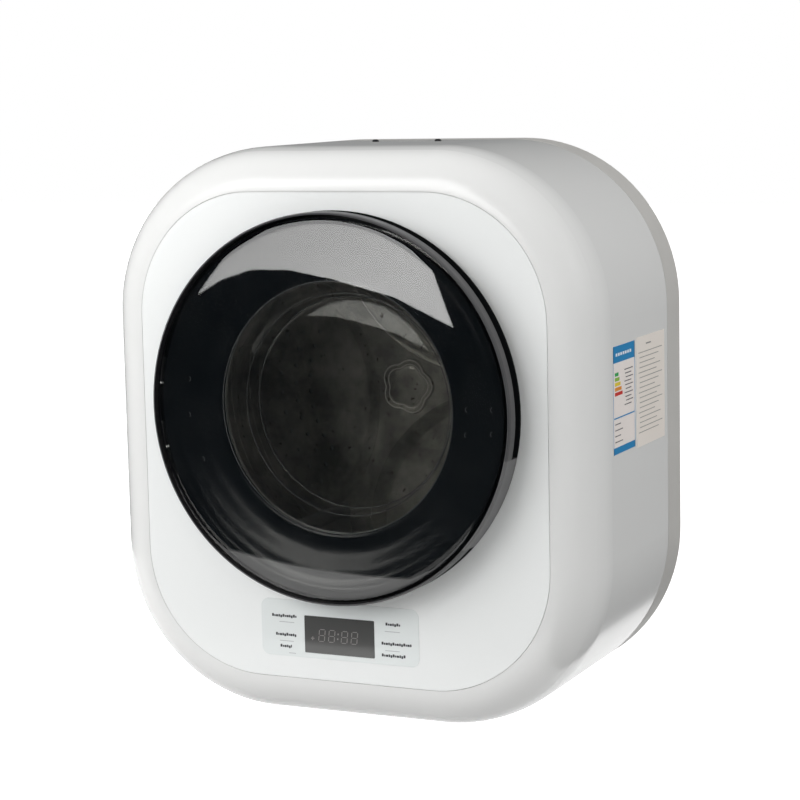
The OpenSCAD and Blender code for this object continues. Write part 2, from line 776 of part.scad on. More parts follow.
module door_lens() color([0.06, 0.07, 0.08, 0.55]) at_drum() {
    rotate_extrude() intersection() {
        difference() {
            lens_outline(0);
            lens_outline(lens_t);
        }
        translate([0, shelf_d + 0.4]) square([door_r, lens_top]);
    }
}

module door_frame() color("#111315") at_drum() {
    rotate_extrude() polygon([[window_r, flange_d + glass_t], [window_r, flange_d + glass_t + 3.2],
        [window_r + 4, flange_d + glass_t + 4.5], [shelf_r - 16, shelf_d - 3], [shelf_r - 8, shelf_d + 3],
        [shelf_r - 0.3, shelf_d + 3], [shelf_r - 0.3, shelf_d + 0.4], [shelf_r - 7, shelf_d + 0.4],
        [shelf_r - 14, shelf_d - 6], [step_r - 3.4, back_plate_d + 2.7], [step_r - 4, flange_d + glass_t]]);
}

// the glass bowl's cavity, grown outwards by t, over a domed bottom
module bowl_outline(t) {
    difference() {
        union() {
            polygon([[0, body_d - bowl_d + glass_t - t], [bowl_r - 8, body_d - bowl_d + glass_t - t],
                [bowl_r - glass_t + t, body_d - bowl_d + 8], [bowl_r + 4 - glass_t + t, bowl_step_d],
                [bowl_r + 7 - glass_t + t, bowl_step_d + 3], [window_r - 1 - glass_t + t, flange_d],
                [window_r - glass_t + t, flange_d + glass_t + 1 - t / 3], [0, flange_d + glass_t + 1 - t / 3]]);
            translate([bowl_r - 8, body_d - bowl_d + 8]) circle(r = 8 - glass_t + t);
        }
        translate([0, body_d - bowl_d + glass_t + bowl_crown - bowl_dome_r])
            circle(r = bowl_dome_r - t, $fn = 1440);
        translate([-10, 0]) square([10, body_d]);
    }
}

module door_glass() color([0.10, 0.11, 0.12, 0.4]) at_drum() {
    rotate_extrude() {
        difference() {
            bowl_outline(glass_t);
            bowl_outline(0);
        }
        translate([window_r - 1, flange_d]) square([11, glass_t]);
    }
}

module door_back() color("#d5d7d8") at_drum() {
    difference() {
        rotate_extrude() polygon([[step_r, back_plate_d], [ring_r0 - 0.4, back_plate_d],
            [ring_r0 - 0.4, back_plate_d + 2.5], [step_r - 3, back_plate_d + 2.5],
            [step_r - 3, flange_d - 0.2], [window_r + 1, flange_d - 0.2], [window_r + 1, flange_d - 3],
            [step_r, flange_d - 3]]);
        for (s = [-1, 1]) box(-door_r, -hinge_x + 22, s * hinge_z - notch, s * hinge_z + notch, body_d, hinge_y);
        at_door_screws() disc(1.7 + screw_gap, body_d, hinge_y);
    }
}

module door_seal() color("#4a4c4e") at_drum() ring(161, 153, body_d + gap, back_plate_d);

module at_door_screws() {
    for (i = [0:screw_count - 1]) rotate((i + 0.5) * 360 / screw_count) translate([screw_ring, 0, 0]) children();
}

module door_screws() color("#b9bcbe") at_drum() {
    at_door_screws() {
        disc(3.6, back_plate_d - 1.6, back_plate_d);
        disc(1.7, back_plate_d, back_plate_d + 9);
    }
}

module door_strike() color("#b0b3b5") at_drum() {
    box(strike_x - 4, strike_x + 4, -6, 6, 266, back_plate_d);
    box(strike_x - 4, strike_x + 7, -6, 6, 264, 268.5);
    box(strike_x - 5, strike_x + 9, -8, 8, back_plate_d - 1.5, back_plate_d);
}

module door_magnet() color("#5d6063") at_drum() rotate(40) translate([168, 0, 0]) disc(5, back_plate_d + 2.5, 290);

module door_catch() color("#7c8083") at_drum() {
    difference() {
        box(strike_x - 12, strike_x + 22, -14, 14, front_bulk_d + gap, panel_back - gap);
        box(strike_x - 14, strike_x + 11, -9, 9, front_bulk_d + 2, panel_back + 1);
    }
}

module reed_switch() color("#33503c") at_drum() rotate(40) {
    box(160, 178, -7, 7, 271, panel_back - gap);
}

// ---- hinge ----

module at_hinge() from_wall() translate([-hinge_x, axis_z, hinge_y]) children();

// an upright cylinder on the hinge axis, from z0 to z1
module upright(r, z0, z1) translate([0, z0, 0]) rotate([-90, 0, 0]) cylinder(r = r, h = z1 - z0);

module hinge_leaf() color("#a4a8aa") at_hinge() {
    for (s = [-1, 1]) difference() {
        union() {
            upright(knuckle_r, s * hinge_z - knuckle_l / 2, s * hinge_z + knuckle_l / 2);
            box(0, 20, s * hinge_z - knuckle_l / 2, s * hinge_z + knuckle_l / 2, -4, -0.4);
        }
        upright(pin_r + bore_gap, s * hinge_z - 20, s * hinge_z + 20);
    }
    box(14.5, 24, -hinge_z - knuckle_l / 2, hinge_z + knuckle_l / 2, -6.4, -0.8);
}

module hinge_bracket() color("#b0b4b6") at_hinge() {
    for (s = [-1, 1], e = [-1, 1]) {
        z0 = s * hinge_z + e * (knuckle_l / 2 + 0.6 + ear_t / 2) - ear_t / 2;
        difference() {
            union() {
                upright(knuckle_r, z0, z0 + ear_t);
                box(-knuckle_r, knuckle_r, z0, z0 + ear_t, -hinge_d - 9, 0);
            }
            upright(pin_r, z0 - 1, z0 + ear_t + 1);
        }
    }
    box(-10, 16, -hinge_z - 22, hinge_z + 22, -hinge_d - 10, -hinge_d - 7);
}

module hinge_pins() color("#d0d3d5") at_hinge() {
    for (s = [-1, 1]) upright(pin_r, s * hinge_z - knuckle_l / 2 - 5, s * hinge_z + knuckle_l / 2 + 5);
}

// ---- labels on the right side ----

module side_label(d0, d1, z0, z1) translate([body_w / 2, z0, d0]) cube([0.3, z1 - z0, d1 - d0]);

module rating_label() color("#3f8fc9") from_wall() side_label(149, 215, -13, 97);

module care_label() color("#f2f1ec") from_wall() side_label(53, 143, -16, 98.5);

// ---- output ----

cabinet_shell();
front_panel();
rear_cover();
rear_panel();
wall_bracket();
case_screws();
front_bulkhead();
rear_bulkhead();
felt_seal();
control_overlay();
display_window();
display_board();
main_board();
board_tray();
motor_housing();
motor_mount();
motor_capacitor();
blower_housing();
blower_cover();
exhaust_duct();
exhaust_collar();
heater_box();
heater_elements();
thermal_cutout();
drum_bearing();
bearing_housing();
filter_chute();
hinge_bracket();
hinge_pins();
door_catch();
reed_switch();
drive_belt();
rating_label();
care_label();
cable_gland();
top_plugs();
door_ring();
door_lens();
door_frame();
door_glass();
door_back();
door_seal();
door_strike();
hinge_leaf();
door_screws();
door_magnet();
drum_shell();
drum_front_ring();
drum_back();
drum_hub();
drum_baffle_1();
drum_baffle_2();
drum_baffle_3();
drum_shaft();
motor_shaft();
motor_pulley();
blower_wheel();
filter_lid();
filter_frame();
filter_mesh();
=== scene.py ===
import math

import bmesh
import bpy
from mathutils import Matrix, Vector


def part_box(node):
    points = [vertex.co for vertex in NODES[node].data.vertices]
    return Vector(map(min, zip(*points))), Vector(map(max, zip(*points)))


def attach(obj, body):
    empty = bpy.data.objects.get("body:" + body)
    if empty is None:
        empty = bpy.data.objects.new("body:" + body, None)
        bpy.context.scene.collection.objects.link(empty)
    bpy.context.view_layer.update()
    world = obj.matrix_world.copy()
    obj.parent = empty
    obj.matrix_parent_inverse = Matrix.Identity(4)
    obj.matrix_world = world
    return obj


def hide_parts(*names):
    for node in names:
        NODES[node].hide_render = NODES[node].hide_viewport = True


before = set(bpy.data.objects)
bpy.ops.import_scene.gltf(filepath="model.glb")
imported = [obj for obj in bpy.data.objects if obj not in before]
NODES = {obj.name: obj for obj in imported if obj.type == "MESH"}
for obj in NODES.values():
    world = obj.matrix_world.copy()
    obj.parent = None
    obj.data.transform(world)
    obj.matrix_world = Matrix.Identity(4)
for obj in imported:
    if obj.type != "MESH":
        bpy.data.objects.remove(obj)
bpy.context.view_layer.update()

MM = 0.001

# ---- where things are, from the frame ----

RING_LOW, RING_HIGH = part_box("door_ring")
WINDOW_LOW, WINDOW_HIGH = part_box("display_window")
FILM_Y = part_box("control_overlay")[0][1]
FRONT_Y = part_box("front_panel")[0][1]
FRONT_DEPTH = -FRONT_Y / MM
DRUM_Z = (RING_LOW[2] + RING_HIGH[2]) / 2
FLOOR_GAP = 0.5 * MM
FLOOR_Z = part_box("cabinet_shell")[0][2] - FLOOR_GAP

# ---- camera ----

CAMERA_PLACE = Vector((1.0643, -2.4268, 0.3693))
CAMERA_YAW = math.radians(24.856)
CAMERA_DOWN = math.radians(7.810)
CAMERA_ROLL = math.radians(-1.244)
CAMERA_LENS = 106.0
SENSOR_WIDTH = 36.0


def add_camera():
    """The photo's view: from the front, to the right of the door and a little above it."""
    ahead = Vector((-math.sin(CAMERA_YAW) * math.cos(CAMERA_DOWN),
                    math.cos(CAMERA_YAW) * math.cos(CAMERA_DOWN),
                    -math.sin(CAMERA_DOWN)))
    level = Vector((math.cos(CAMERA_YAW), math.sin(CAMERA_YAW), 0))
    above = level.cross(ahead)
    right = level * math.cos(CAMERA_ROLL) + above * math.sin(CAMERA_ROLL)
    up = above * math.cos(CAMERA_ROLL) - level * math.sin(CAMERA_ROLL)
    data = bpy.data.cameras.new("photo_camera")
    data.lens = CAMERA_LENS
    data.sensor_width = SENSOR_WIDTH
    data.clip_end = 50
    camera = bpy.data.objects.new("photo_camera", data)
    turn = Matrix((right, up, -ahead)).transposed().to_4x4()
    camera.matrix_world = Matrix.Translation(CAMERA_PLACE) @ turn
    bpy.context.scene.collection.objects.link(camera)
    bpy.context.scene.camera = camera


# ---- material building blocks ----

class Shader:
    """A material's node tree, with short calls for the nodes that repeat."""

    def __init__(self, name):
        self.material = bpy.data.materials.new(name)
        self.material.use_nodes = True
        self.tree = self.material.node_tree
        self.tree.nodes.clear()
        self.output = self.tree.nodes.new("ShaderNodeOutputMaterial")
        self.coords = self.tree.nodes.new("ShaderNodeTexCoord")

    def node(self, kind, **sockets):
        made = self.tree.nodes.new(kind)
        for key, value in sockets.items():
            made.inputs[key.replace("_", " ")].default_value = value
        return made

    def link(self, start, end):
        self.tree.links.new(start, end)

    def place(self, scale=(1, 1, 1), turn=(0, 0, 0), shift=(0, 0, 0)):
        """Object coordinates in metres, scaled, turned and shifted."""
        mapping = self.node("ShaderNodeMapping", Scale=scale, Rotation=turn, Location=shift)
        self.link(self.coords.outputs["Object"], mapping.inputs["Vector"])
        return mapping.outputs["Vector"]

    def noise(self, scale, detail=3.0, rough=0.55, stretch=(1, 1, 1)):
        made = self.node("ShaderNodeTexNoise", Scale=scale, Detail=detail, Roughness=rough)
        self.link(self.place(stretch), made.inputs["Vector"])
        return made.outputs["Fac"]

    def spread(self, value, low, high, start=0.3, end=0.7):
        made = self.node("ShaderNodeMapRange")
        for socket, number in zip(made.inputs[1:5], (start, end, low, high)):
            socket.default_value = number
        self.link(value, made.inputs["Value"])
        return made.outputs["Result"]

    def blend(self, fac, one, two):
        """A mix of two colours, each a colour or a socket."""
        made = self.tree.nodes.new("ShaderNodeMix")
        made.data_type = "RGBA"
        self.link(fac, made.inputs["Factor"])
        for socket, value in ((made.inputs[6], one), (made.inputs[7], two)):
            if isinstance(value, bpy.types.NodeSocket):
                self.link(value, socket)
            else:
                socket.default_value = (*value, 1)
        return made.outputs[2]

    def math(self, kind, one, two):
        made = self.tree.nodes.new("ShaderNodeMath")
        made.operation = kind
        for socket, value in zip(made.inputs, (one, two)):
            if isinstance(value, bpy.types.NodeSocket):
                self.link(value, socket)
            else:
                socket.default_value = value
        return made.outputs[0]

    def bump(self, height, depth, strength=1.0, normal=None):
        made = self.node("ShaderNodeBump", Strength=strength, Distance=depth)
        self.link(height, made.inputs["Height"])
        if normal is not None:
            self.link(normal, made.inputs["Normal"])
        return made.outputs["Normal"]

    def principled(self, colour, rough, normal=None, **sockets):
        made = self.node("ShaderNodeBsdfPrincipled", **sockets)
        self.link(colour, made.inputs["Base Color"])
        if isinstance(rough, bpy.types.NodeSocket):
            self.link(rough, made.inputs["Roughness"])
        else:
            made.inputs["Roughness"].default_value = rough
        if normal is not None:
            self.link(normal, made.inputs["Normal"])
        self.link(made.outputs[0], self.output.inputs["Surface"])
        return made


def shade(colour, factor):
    return tuple(min(1.0, c * factor) for c in colour)


def moulded(name, colour, rough=0.35, grain=1400, depth=0.02, vary=0.03, coat=0.0):
    """Moulded plastic: faint tone drift, a fine grain, and roughness that wanders with handling."""
    s = Shader(name)
    tone = s.blend(s.noise(6, 4), shade(colour, 1 - vary), shade(colour, 1 + vary))
    gloss = s.spread(s.noise(22, 5), rough * 0.85, rough * 1.2)
    normal = s.bump(s.noise(grain, 2), depth * MM)
    s.principled(tone, gloss, normal, Coat_Weight=coat, Coat_Roughness=0.06)
    return s.material


def gloss_white(name, colour, rough=0.22):
    """Glossy white moulding, its tone and gloss drifting a little over a hand's breadth."""
    s = Shader(name)
    tone = s.blend(s.noise(3, 2), shade(colour, 0.992), shade(colour, 1.0))
    gloss = s.spread(s.noise(8, 2), rough * 0.98, rough * 1.02)
    s.principled(tone, gloss, Coat_Weight=0.2, Coat_Roughness=0.12)
    return s.material


def sheet_metal(name, colour, rough=0.38, metal=1.0, grain=(1, 1, 60), spangle=0.0):
    """Rolled or brushed sheet: fine lines along one way, cloudy tone, and zinc spangle if asked."""
    s = Shader(name)
    lines = s.noise(60, 4, 0.7, grain)
    clouds = s.noise(9, 5)
    tone = s.blend(clouds, shade(colour, 0.86), shade(colour, 1.08))
    if spangle:
        cells = s.node("ShaderNodeTexVoronoi", Scale=110.0)
        s.link(s.coords.outputs["Object"], cells.inputs["Vector"])
        crystal = s.spread(cells.outputs["Distance"], 0, spangle, 0, 1)
        tone = s.blend(crystal, tone, shade(colour, 1.25))
    gloss = s.spread(lines, rough * 0.75, rough * 1.25)
    s.principled(tone, gloss, s.bump(lines, 0.01 * MM, 0.5), Metallic=metal)
    return s.material


def turned_metal(name, colour, rough=0.25):
    """Turned or ground metal: fine lines round an axis that runs to the wall."""
    return sheet_metal(name, colour, rough, grain=(8, 90, 8))


def drum_steel():
    """Drawn stainless steel with water marks: mottled tone, fine scratches, duller patches."""
    s = Shader("drum_steel")
    marks = s.spread(s.noise(16, 8, 0.68), 0, 1, 0.35, 0.68)
    base = s.blend(marks, (0.26, 0.255, 0.245), (0.75, 0.735, 0.705))
    spots = s.spread(s.noise(150, 3, 0.5), 0, 1, 0.66, 0.70)
    tone = s.blend(spots, base, (0.16, 0.14, 0.12))
    scratches = s.noise(240, 3, 0.6, (1, 6, 0.4))
    gloss = s.spread(marks, 0.30, 0.50, 0, 1)
    s.principled(tone, gloss, s.bump(scratches, 0.02 * MM, 0.5), Metallic=0.45)
    return s.material


MIRROR_EDGE = 0.94
MIRROR_FACE = 0.045


def see_through(name, tint, rough=0.02, strength=1.0, smudge=0.004):
    """A clear or smoked wall: tinted light goes straight through, and its edges mirror more."""
    s = Shader(name)
    facing = s.tree.nodes.new("ShaderNodeLayerWeight")
    facing.inputs["Blend"].default_value = 0.5
    edge = s.math("POWER", facing.outputs["Facing"], 5.0)
    share = s.math("MULTIPLY_ADD", edge, MIRROR_EDGE)
    share.node.inputs[2].default_value = MIRROR_FACE * strength
    clear = s.node("ShaderNodeBsdfTransparent")
    haze = s.noise(9, 6, 0.6)
    tone = s.blend(haze, shade(tint, 0.96), shade(tint, 1.02))
    s.link(tone, clear.inputs["Color"])
    mirror = s.node("ShaderNodeBsdfAnisotropic", Roughness=rough)
    mirror.inputs["Color"].default_value = (1, 1, 1, 1)
    s.link(s.spread(s.noise(18, 6, 0.65), rough * 0.6, rough * 1.5), mirror.inputs["Roughness"])
    mixed = s.tree.nodes.new("ShaderNodeMixShader")
    s.link(share, mixed.inputs[0])
    s.link(clear.outputs[0], mixed.inputs[1])
    s.link(mirror.outputs[0], mixed.inputs[2])
    dust = s.node("ShaderNodeBsdfDiffuse", Roughness=0.6)
    dust.inputs["Color"].default_value = (0.6, 0.6, 0.6, 1)
    film = s.spread(s.noise(26, 8, 0.7), 0.0, smudge, 0.42, 0.72)
    last = s.tree.nodes.new("ShaderNodeMixShader")
    s.link(film, last.inputs[0])
    s.link(mixed.outputs[0], last.inputs[1])
    s.link(dust.outputs[0], last.inputs[2])
    s.link(last.outputs[0], s.output.inputs["Surface"])
    return s.material


GRIP_LOW, GRIP_HIGH, GRIP_BLUR = -42.1, -11.9, 0.5
RING_SKIN = (3.0 * MM, 2.4 * MM)
RING_BAND = (14.6 * MM, 15.4 * MM)


def ring_plastic():
    """The door ring: satin grey rim, side and grip, and black in the groove, behind and inside."""
    s = Shader("ring_plastic")
    split = s.node("ShaderNodeSeparateXYZ")
    s.link(s.coords.outputs["Object"], split.inputs[0])
    across = s.math("POWER", split.outputs["X"], 2.0)
    drop = s.math("SUBTRACT", split.outputs["Z"], DRUM_Z)
    radius = s.math("SQRT", s.math("ADD", across, s.math("POWER", drop, 2.0)), 0.0)
    outside = s.spread(radius, 0, 1, *(RING_HIGH[0] - skin for skin in RING_SKIN))
    front = s.spread(split.outputs["Y"], 1, 0, *(RING_LOW[1] + band for band in RING_BAND))
    angle = s.math("ARCTAN2", drop, split.outputs["X"])
    below = s.spread(angle, 1, 0, math.radians(GRIP_HIGH - GRIP_BLUR), math.radians(GRIP_HIGH))
    above = s.spread(angle, 0, 1, math.radians(GRIP_LOW), math.radians(GRIP_LOW + GRIP_BLUR))
    grip = s.math("MULTIPLY", below, above)
    grey = s.math("MULTIPLY", outside, s.math("MAXIMUM", front, grip))
    flecks = s.blend(s.noise(2200, 2), (0.056, 0.056, 0.058), (0.070, 0.070, 0.073))
    flecks = s.blend(s.math("MULTIPLY", outside, grip), flecks, (0.125, 0.125, 0.127))
    tone = s.blend(grey, (0.0035, 0.004, 0.0045), flecks)
    gloss = s.spread(s.noise(40, 4), 0.34, 0.46)
    made = s.principled(tone, gloss, s.bump(s.noise(900, 2), 0.01 * MM))
    s.link(s.spread(grey, 0.08, 0.45), made.inputs["Specular IOR Level"])
    return s.material


def felt():
    """Pressed wool felt: tangled fibres with a soft sheen."""
    s = Shader("felt")
    fibres = s.noise(900, 6, 0.8)
    tone = s.blend(fibres, (0.46, 0.44, 0.39), (0.66, 0.64, 0.58))
    s.principled(tone, 0.95, s.bump(fibres, 0.3 * MM), Sheen_Weight=0.5)
    return s.material


def belt_rubber():
    """Ribbed rubber: lengthwise ribs across the belt's width and dusty wear."""
    s = Shader("belt_rubber")
    ribs = s.tree.nodes.new("ShaderNodeTexWave")
    ribs.bands_direction = "Y"
    ribs.inputs["Scale"].default_value = 110
    s.link(s.coords.outputs["Object"], ribs.inputs["Vector"])
    tone = s.blend(s.noise(60, 5), (0.018, 0.018, 0.019), (0.05, 0.05, 0.05))
    s.principled(tone, 0.62, s.bump(ribs.outputs["Fac"], 0.6 * MM))
    return s.material


def circuit_board():
    """Green solder mask with copper tracks that show through."""
    s = Shader("circuit_board")
    cells = s.node("ShaderNodeTexBrick", Scale=90.0, Mortar_Size=0.03)
    s.link(s.place((1, 1, 1), (math.radians(90), 0, 0)), cells.inputs["Vector"])
    tracks = s.blend(cells.outputs["Fac"], (0.012, 0.075, 0.035), (0.03, 0.16, 0.07))
    tone = s.blend(s.noise(40, 3), tracks, (0.02, 0.10, 0.05))
    gloss = s.spread(s.noise(150, 2), 0.25, 0.4)
    s.principled(tone, gloss, s.bump(cells.outputs["Fac"], 0.05 * MM))
    return s.material


def fine_mesh():
    """The lint screen: a woven grid with open holes."""
    s = Shader("lint_mesh")
    weave = None
    for way in ("X", "Z"):
        wave = s.tree.nodes.new("ShaderNodeTexWave")
        wave.bands_direction = way
        wave.inputs["Scale"].default_value = 260
        s.link(s.coords.outputs["Object"], wave.inputs["Vector"])
        lines = wave.outputs["Fac"]
        weave = lines if weave is None else s.math("MAXIMUM", weave, lines)
    tone = s.blend(weave, (0.20, 0.24, 0.28), (0.62, 0.68, 0.73))
    s.principled(tone, 0.55, s.bump(weave, 0.1 * MM))
    return s.material


def paper(name, colour):
    """Coated label paper."""
    s = Shader(name)
    tone = s.blend(s.noise(30, 4), shade(colour, 0.97), shade(colour, 1.0))
    gloss = s.spread(s.noise(80, 3), 0.3, 0.42)
    s.principled(tone, gloss, s.bump(s.noise(500, 3), 0.01 * MM))
    return s.material


def ink(name, colour, rough=0.4):
    """Printed ink: not quite even, as a screen print is."""
    s = Shader(name)
    tone = s.blend(s.noise(700, 3), shade(colour, 0.9), shade(colour, 1.1))
    s.principled(tone, rough)
    return s.material


def heat_tinted():
    """Heating rods: steel that heat has turned straw, brown and blue in bands."""
    s = Shader("heater_sheath")
    bands = s.spread(s.noise(12, 5, 0.6, (1, 1, 3)), 0, 1)
    warm = s.blend(bands, (0.30, 0.17, 0.09), (0.17, 0.16, 0.20))
    s.principled(warm, 0.4, s.bump(s.noise(600, 2), 0.02 * MM), Metallic=0.9)
    return s.material


def stage_white(name):
    """The pale floor: it looks lit to the camera and in mirrors, and lights nothing itself."""
    s = Shader(name)
    tone = s.blend(s.noise(2, 3), (0.54, 0.54, 0.54), (0.57, 0.57, 0.57))
    cove = s.principled(tone, 0.9, Specular_IOR_Level=0.1)
    cove.inputs["Emission Color"].default_value = (1, 1, 1, 1)
    path = s.tree.nodes.new("ShaderNodeLightPath")
    mirrored = s.math("MULTIPLY", path.outputs["Is Glossy Ray"], 0.98)
    seen = path.outputs["Is Camera Ray"]
    s.link(s.math("ADD", mirrored, seen), cove.inputs["Emission Strength"])
    return s.material


def card_light(name, low, high):
    """A lit card, brighter towards its lower right-hand side."""
    s = Shader(name)
    split = s.node("ShaderNodeSeparateXYZ")
    s.link(s.coords.outputs["Generated"], split.inputs[0])
    fall = s.math("ADD", split.outputs["X"], s.math("MULTIPLY", split.outputs["Z"], -0.8))
    lit = s.node("ShaderNodeEmission")
    s.link(s.spread(fall, low, high, -0.5, 0.7), lit.inputs["Strength"])
    s.link(lit.outputs[0], s.output.inputs["Surface"])
    return s.material


# ---- stage, light ----

def flat_card(name, corners, material):
    """One flat face of any outline, which isn't part of the object."""
    mesh = bpy.data.meshes.new(name)
    mesh.from_pydata(corners, [], [tuple(range(len(corners)))])
    mesh.materials.append(material)
    made = bpy.data.objects.new(name, mesh)
    bpy.context.scene.collection.objects.link(made)
    return made


def add_stage():
    """A pale floor. Only its near part, as deep as a table, shows in mirror-like surfaces."""
    white = stage_white("floor_white")
    left, right, near_y0, near_y1, far = -0.9, 0.27, -0.59, 0.6, 9.0
    spans = {
        "floor_near": (left, right, near_y0, near_y1),
        "floor_front": (-far, far, -far, near_y0),
        "floor_back": (-far, far, near_y1, far),
        "floor_left": (-far, left, near_y0, near_y1),
        "floor_right": (right, far, near_y0, near_y1),
    }
    for name, (x0, x1, y0, y1) in spans.items():
        corners = [(x0, y0, FLOOR_Z), (x1, y0, FLOOR_Z), (x1, y1, FLOOR_Z), (x0, y1, FLOOR_Z)]
        piece = flat_card(name, corners, white)
        piece.visible_glossy = name == "floor_near"


def add_softbox(name, place, target, width, height, radiance):
    """A rectangular softbox of a given brightness, facing target."""
    data = bpy.data.lights.new(name, "AREA")
    data.shape = "RECTANGLE"
    data.size = width
    data.size_y = height
    data.energy = radiance * math.pi * width * height
    lamp = bpy.data.objects.new(name, data)
    lamp.location = place
    aim = Vector(target) - Vector(place)
    lamp.rotation_euler = aim.to_track_quat("-Z", "Y").to_euler()
    bpy.context.scene.collection.objects.link(lamp)
    return lamp


def add_world(seen=(1, 1, 1), fill=(0.50, 0.50, 0.495), mirrored=(0.016, 0.020, 0.025)):
    """White all round, but dim in mirror-like surfaces, as in a dark studio with a white cove."""
    world = bpy.data.worlds.new("studio")
    world.use_nodes = True
    tree = world.node_tree
    tree.nodes.clear()
    path = tree.nodes.new("ShaderNodeLightPath")
    levels = []
    for level in (fill, mirrored, seen):
        light = tree.nodes.new("ShaderNodeBackground")
        light.inputs["Color"].default_value = (*level, 1)
        levels.append(light)
    last = levels[0].outputs[0]
    for flag, light in (("Is Glossy Ray", levels[1]), ("Is Camera Ray", levels[2])):
        mix = tree.nodes.new("ShaderNodeMixShader")
        tree.links.new(path.outputs[flag], mix.inputs[0])
        tree.links.new(last, mix.inputs[1])
        tree.links.new(light.outputs[0], mix.inputs[2])
        last = mix.outputs[0]
    out = tree.nodes.new("ShaderNodeOutputWorld")
    tree.links.new(last, out.inputs["Surface"])
    bpy.context.scene.world = world


def add_key_card():
    """The big light in front and to the left, with an arched lower edge, as the dome mirrors it."""
    away = -3.2
    lower_edge = ((-3.15, 0.54), (-2.75, 0.68), (-2.3, 0.77), (-1.8, 0.76), (-1.3, 0.68),
                  (-0.7, 0.54), (-0.2, 0.32))
    rest = ((-0.32, 0.6), (-0.45, 0.9), (-0.75, 2.3), (-2.0, 2.3), (-2.45, 1.13))
    corners = [(x, away, z) for x, z in lower_edge + rest]
    card = flat_card("key_card", corners, card_light("key_card", 3.6, 5.8))


def add_light():
    """The key card, and four soft fills that mirror-like surfaces don't show."""
    centre = (0, FRONT_Y, 0.05)
    add_key_card()
    soft = (add_softbox("front_fill", (-0.75, -1.0, 0.5), (-0.2, -0.28, 0.14), 0.6, 0.5, 4.3),
            add_softbox("left_fill", (-2.4, -2.0, 0.9), centre, 1.6, 1.6, 0.8),
            add_softbox("right_fill", (2.5, -0.5, 1.3), centre, 1.2, 1.6, 3.5),
            add_softbox("top_fill", (0.1, -0.2, 2.2), centre, 1.6, 1.2, 1.2))
    for lamp in soft:
        lamp.visible_glossy = False
    add_world()
    bpy.context.scene.view_settings.view_transform = "Standard"
    bpy.context.scene.view_settings.look = "None"


# ---- small printed and moulded details ----

def new_piece(name, mesh, body, material):
    """A visible piece that rides on a body and takes the material it is given."""
    mesh.materials.append(material)
    made = bpy.data.objects.new(name, mesh)
    bpy.context.scene.collection.objects.link(made)
    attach(made, body)
    return made


def close_mesh(name, shape):
    """A mesh from a bmesh, which is freed."""
    mesh = bpy.data.meshes.new(name)
    shape.to_mesh(mesh)
    shape.free()
    return mesh


def smooth_outward(shape):
    """Turns every face outward and shades it smooth."""
    bmesh.ops.recalc_face_normals(shape, faces=shape.faces)
    for face in shape.faces:
        face.smooth = True


CORNER_POINTS = 4


def bars_mesh(name, bars, thick, to_world, corner=0.3):
    """Thin raised bars, each (x0, x1, z0, z1) in millimetres, with softened corners.

    to_world turns (across, up, out) in millimetres into a point of the row frame."""
    shape = bmesh.new()
    for x0, x1, z0, z1 in bars:
        cut = min(corner, (x1 - x0) / 2.1, (z1 - z0) / 2.1)
        outline = []
        for cx, cz, start in ((x1 - cut, z1 - cut, 0), (x0 + cut, z1 - cut, 90),
                              (x0 + cut, z0 + cut, 180), (x1 - cut, z0 + cut, 270)):
            for step in range(CORNER_POINTS):
                a = math.radians(start + step * 90 / (CORNER_POINTS - 1))
                outline.append((cx + cut * math.cos(a), cz + cut * math.sin(a)))
        low = [shape.verts.new(to_world(x, z, 0)) for x, z in outline]
        high = [shape.verts.new(to_world(x, z, thick)) for x, z in outline]
        shape.faces.new(high)
        shape.faces.new(low[::-1])
        for i in range(len(outline)):
            j = (i + 1) % len(outline)
            shape.faces.new((low[i], low[j], high[j], high[i]))
    bmesh.ops.recalc_face_normals(shape, faces=shape.faces)
    return close_mesh(name, shape)


def on_front(y):
    """Places details on a surface that faces the viewer, at height y in the row frame."""
    return lambda x, z, out: (x * MM, y - out * MM, z * MM)


def on_right(x):
    """Places details on the right side: across runs towards the wall."""
    return lambda y, z, out: (x + out * MM, y * MM, z * MM)


SEGMENTS = {
    "top": (0.16, 0.84, 0.94, 1.0), "middle": (0.16, 0.84, 0.47, 0.53),
    "bottom": (0.16, 0.84, 0.0, 0.06),
    "left_up": (0.0, 0.12, 0.55, 0.92), "left_down": (0.0, 0.12, 0.08, 0.45),
    "right_up": (0.88, 1.0, 0.55, 0.92), "right_down": (0.88, 1.0, 0.08, 0.45),
}


DIGIT_SIZE = (7.6, 13.5)
DIGIT_STARTS = (0, 11.4, 26.2, 37.6)
DIGIT_LEAN = 0.12


def digit_bars(x, z, width, height):
    """The seven segments of one digit, its lower left corner at x, z."""
    return [(x + a * width, x + b * width, z + c * height, z + d * height)
            for a, b, c, d in SEGMENTS.values()]


def add_display():
    """Four unlit digits with a colon, and a small plus sign, on the smoked display window."""
    left = WINDOW_LOW[0] / MM + 15.5
    low = (WINDOW_LOW[2] + WINDOW_HIGH[2]) / 2 / MM - 7
    bars = []
    for start in DIGIT_STARTS:
        bars += digit_bars(left + start, low, *DIGIT_SIZE)
    bars += [(left + 21.6, left + 23.2, low + h, low + h + 1.8) for h in (3.4, 8.6)]
    plus = left - 6.6
    bars += [(plus - 2, plus + 2, low + 2.4, low + 3.6), (plus - 0.6, plus + 0.6, low + 1, low + 5)]
    face = on_front(WINDOW_LOW[1])

    def leaning(x, z, out):
        return face(x + DIGIT_LEAN * (z - low), z, out)

    grey = ink("digit_grey", (0.22, 0.205, 0.20), 0.3)
    mesh = bars_mesh("display_digits", bars, 0.06, leaning, 0.25)
    new_piece("display_digits", mesh, "root", grey)


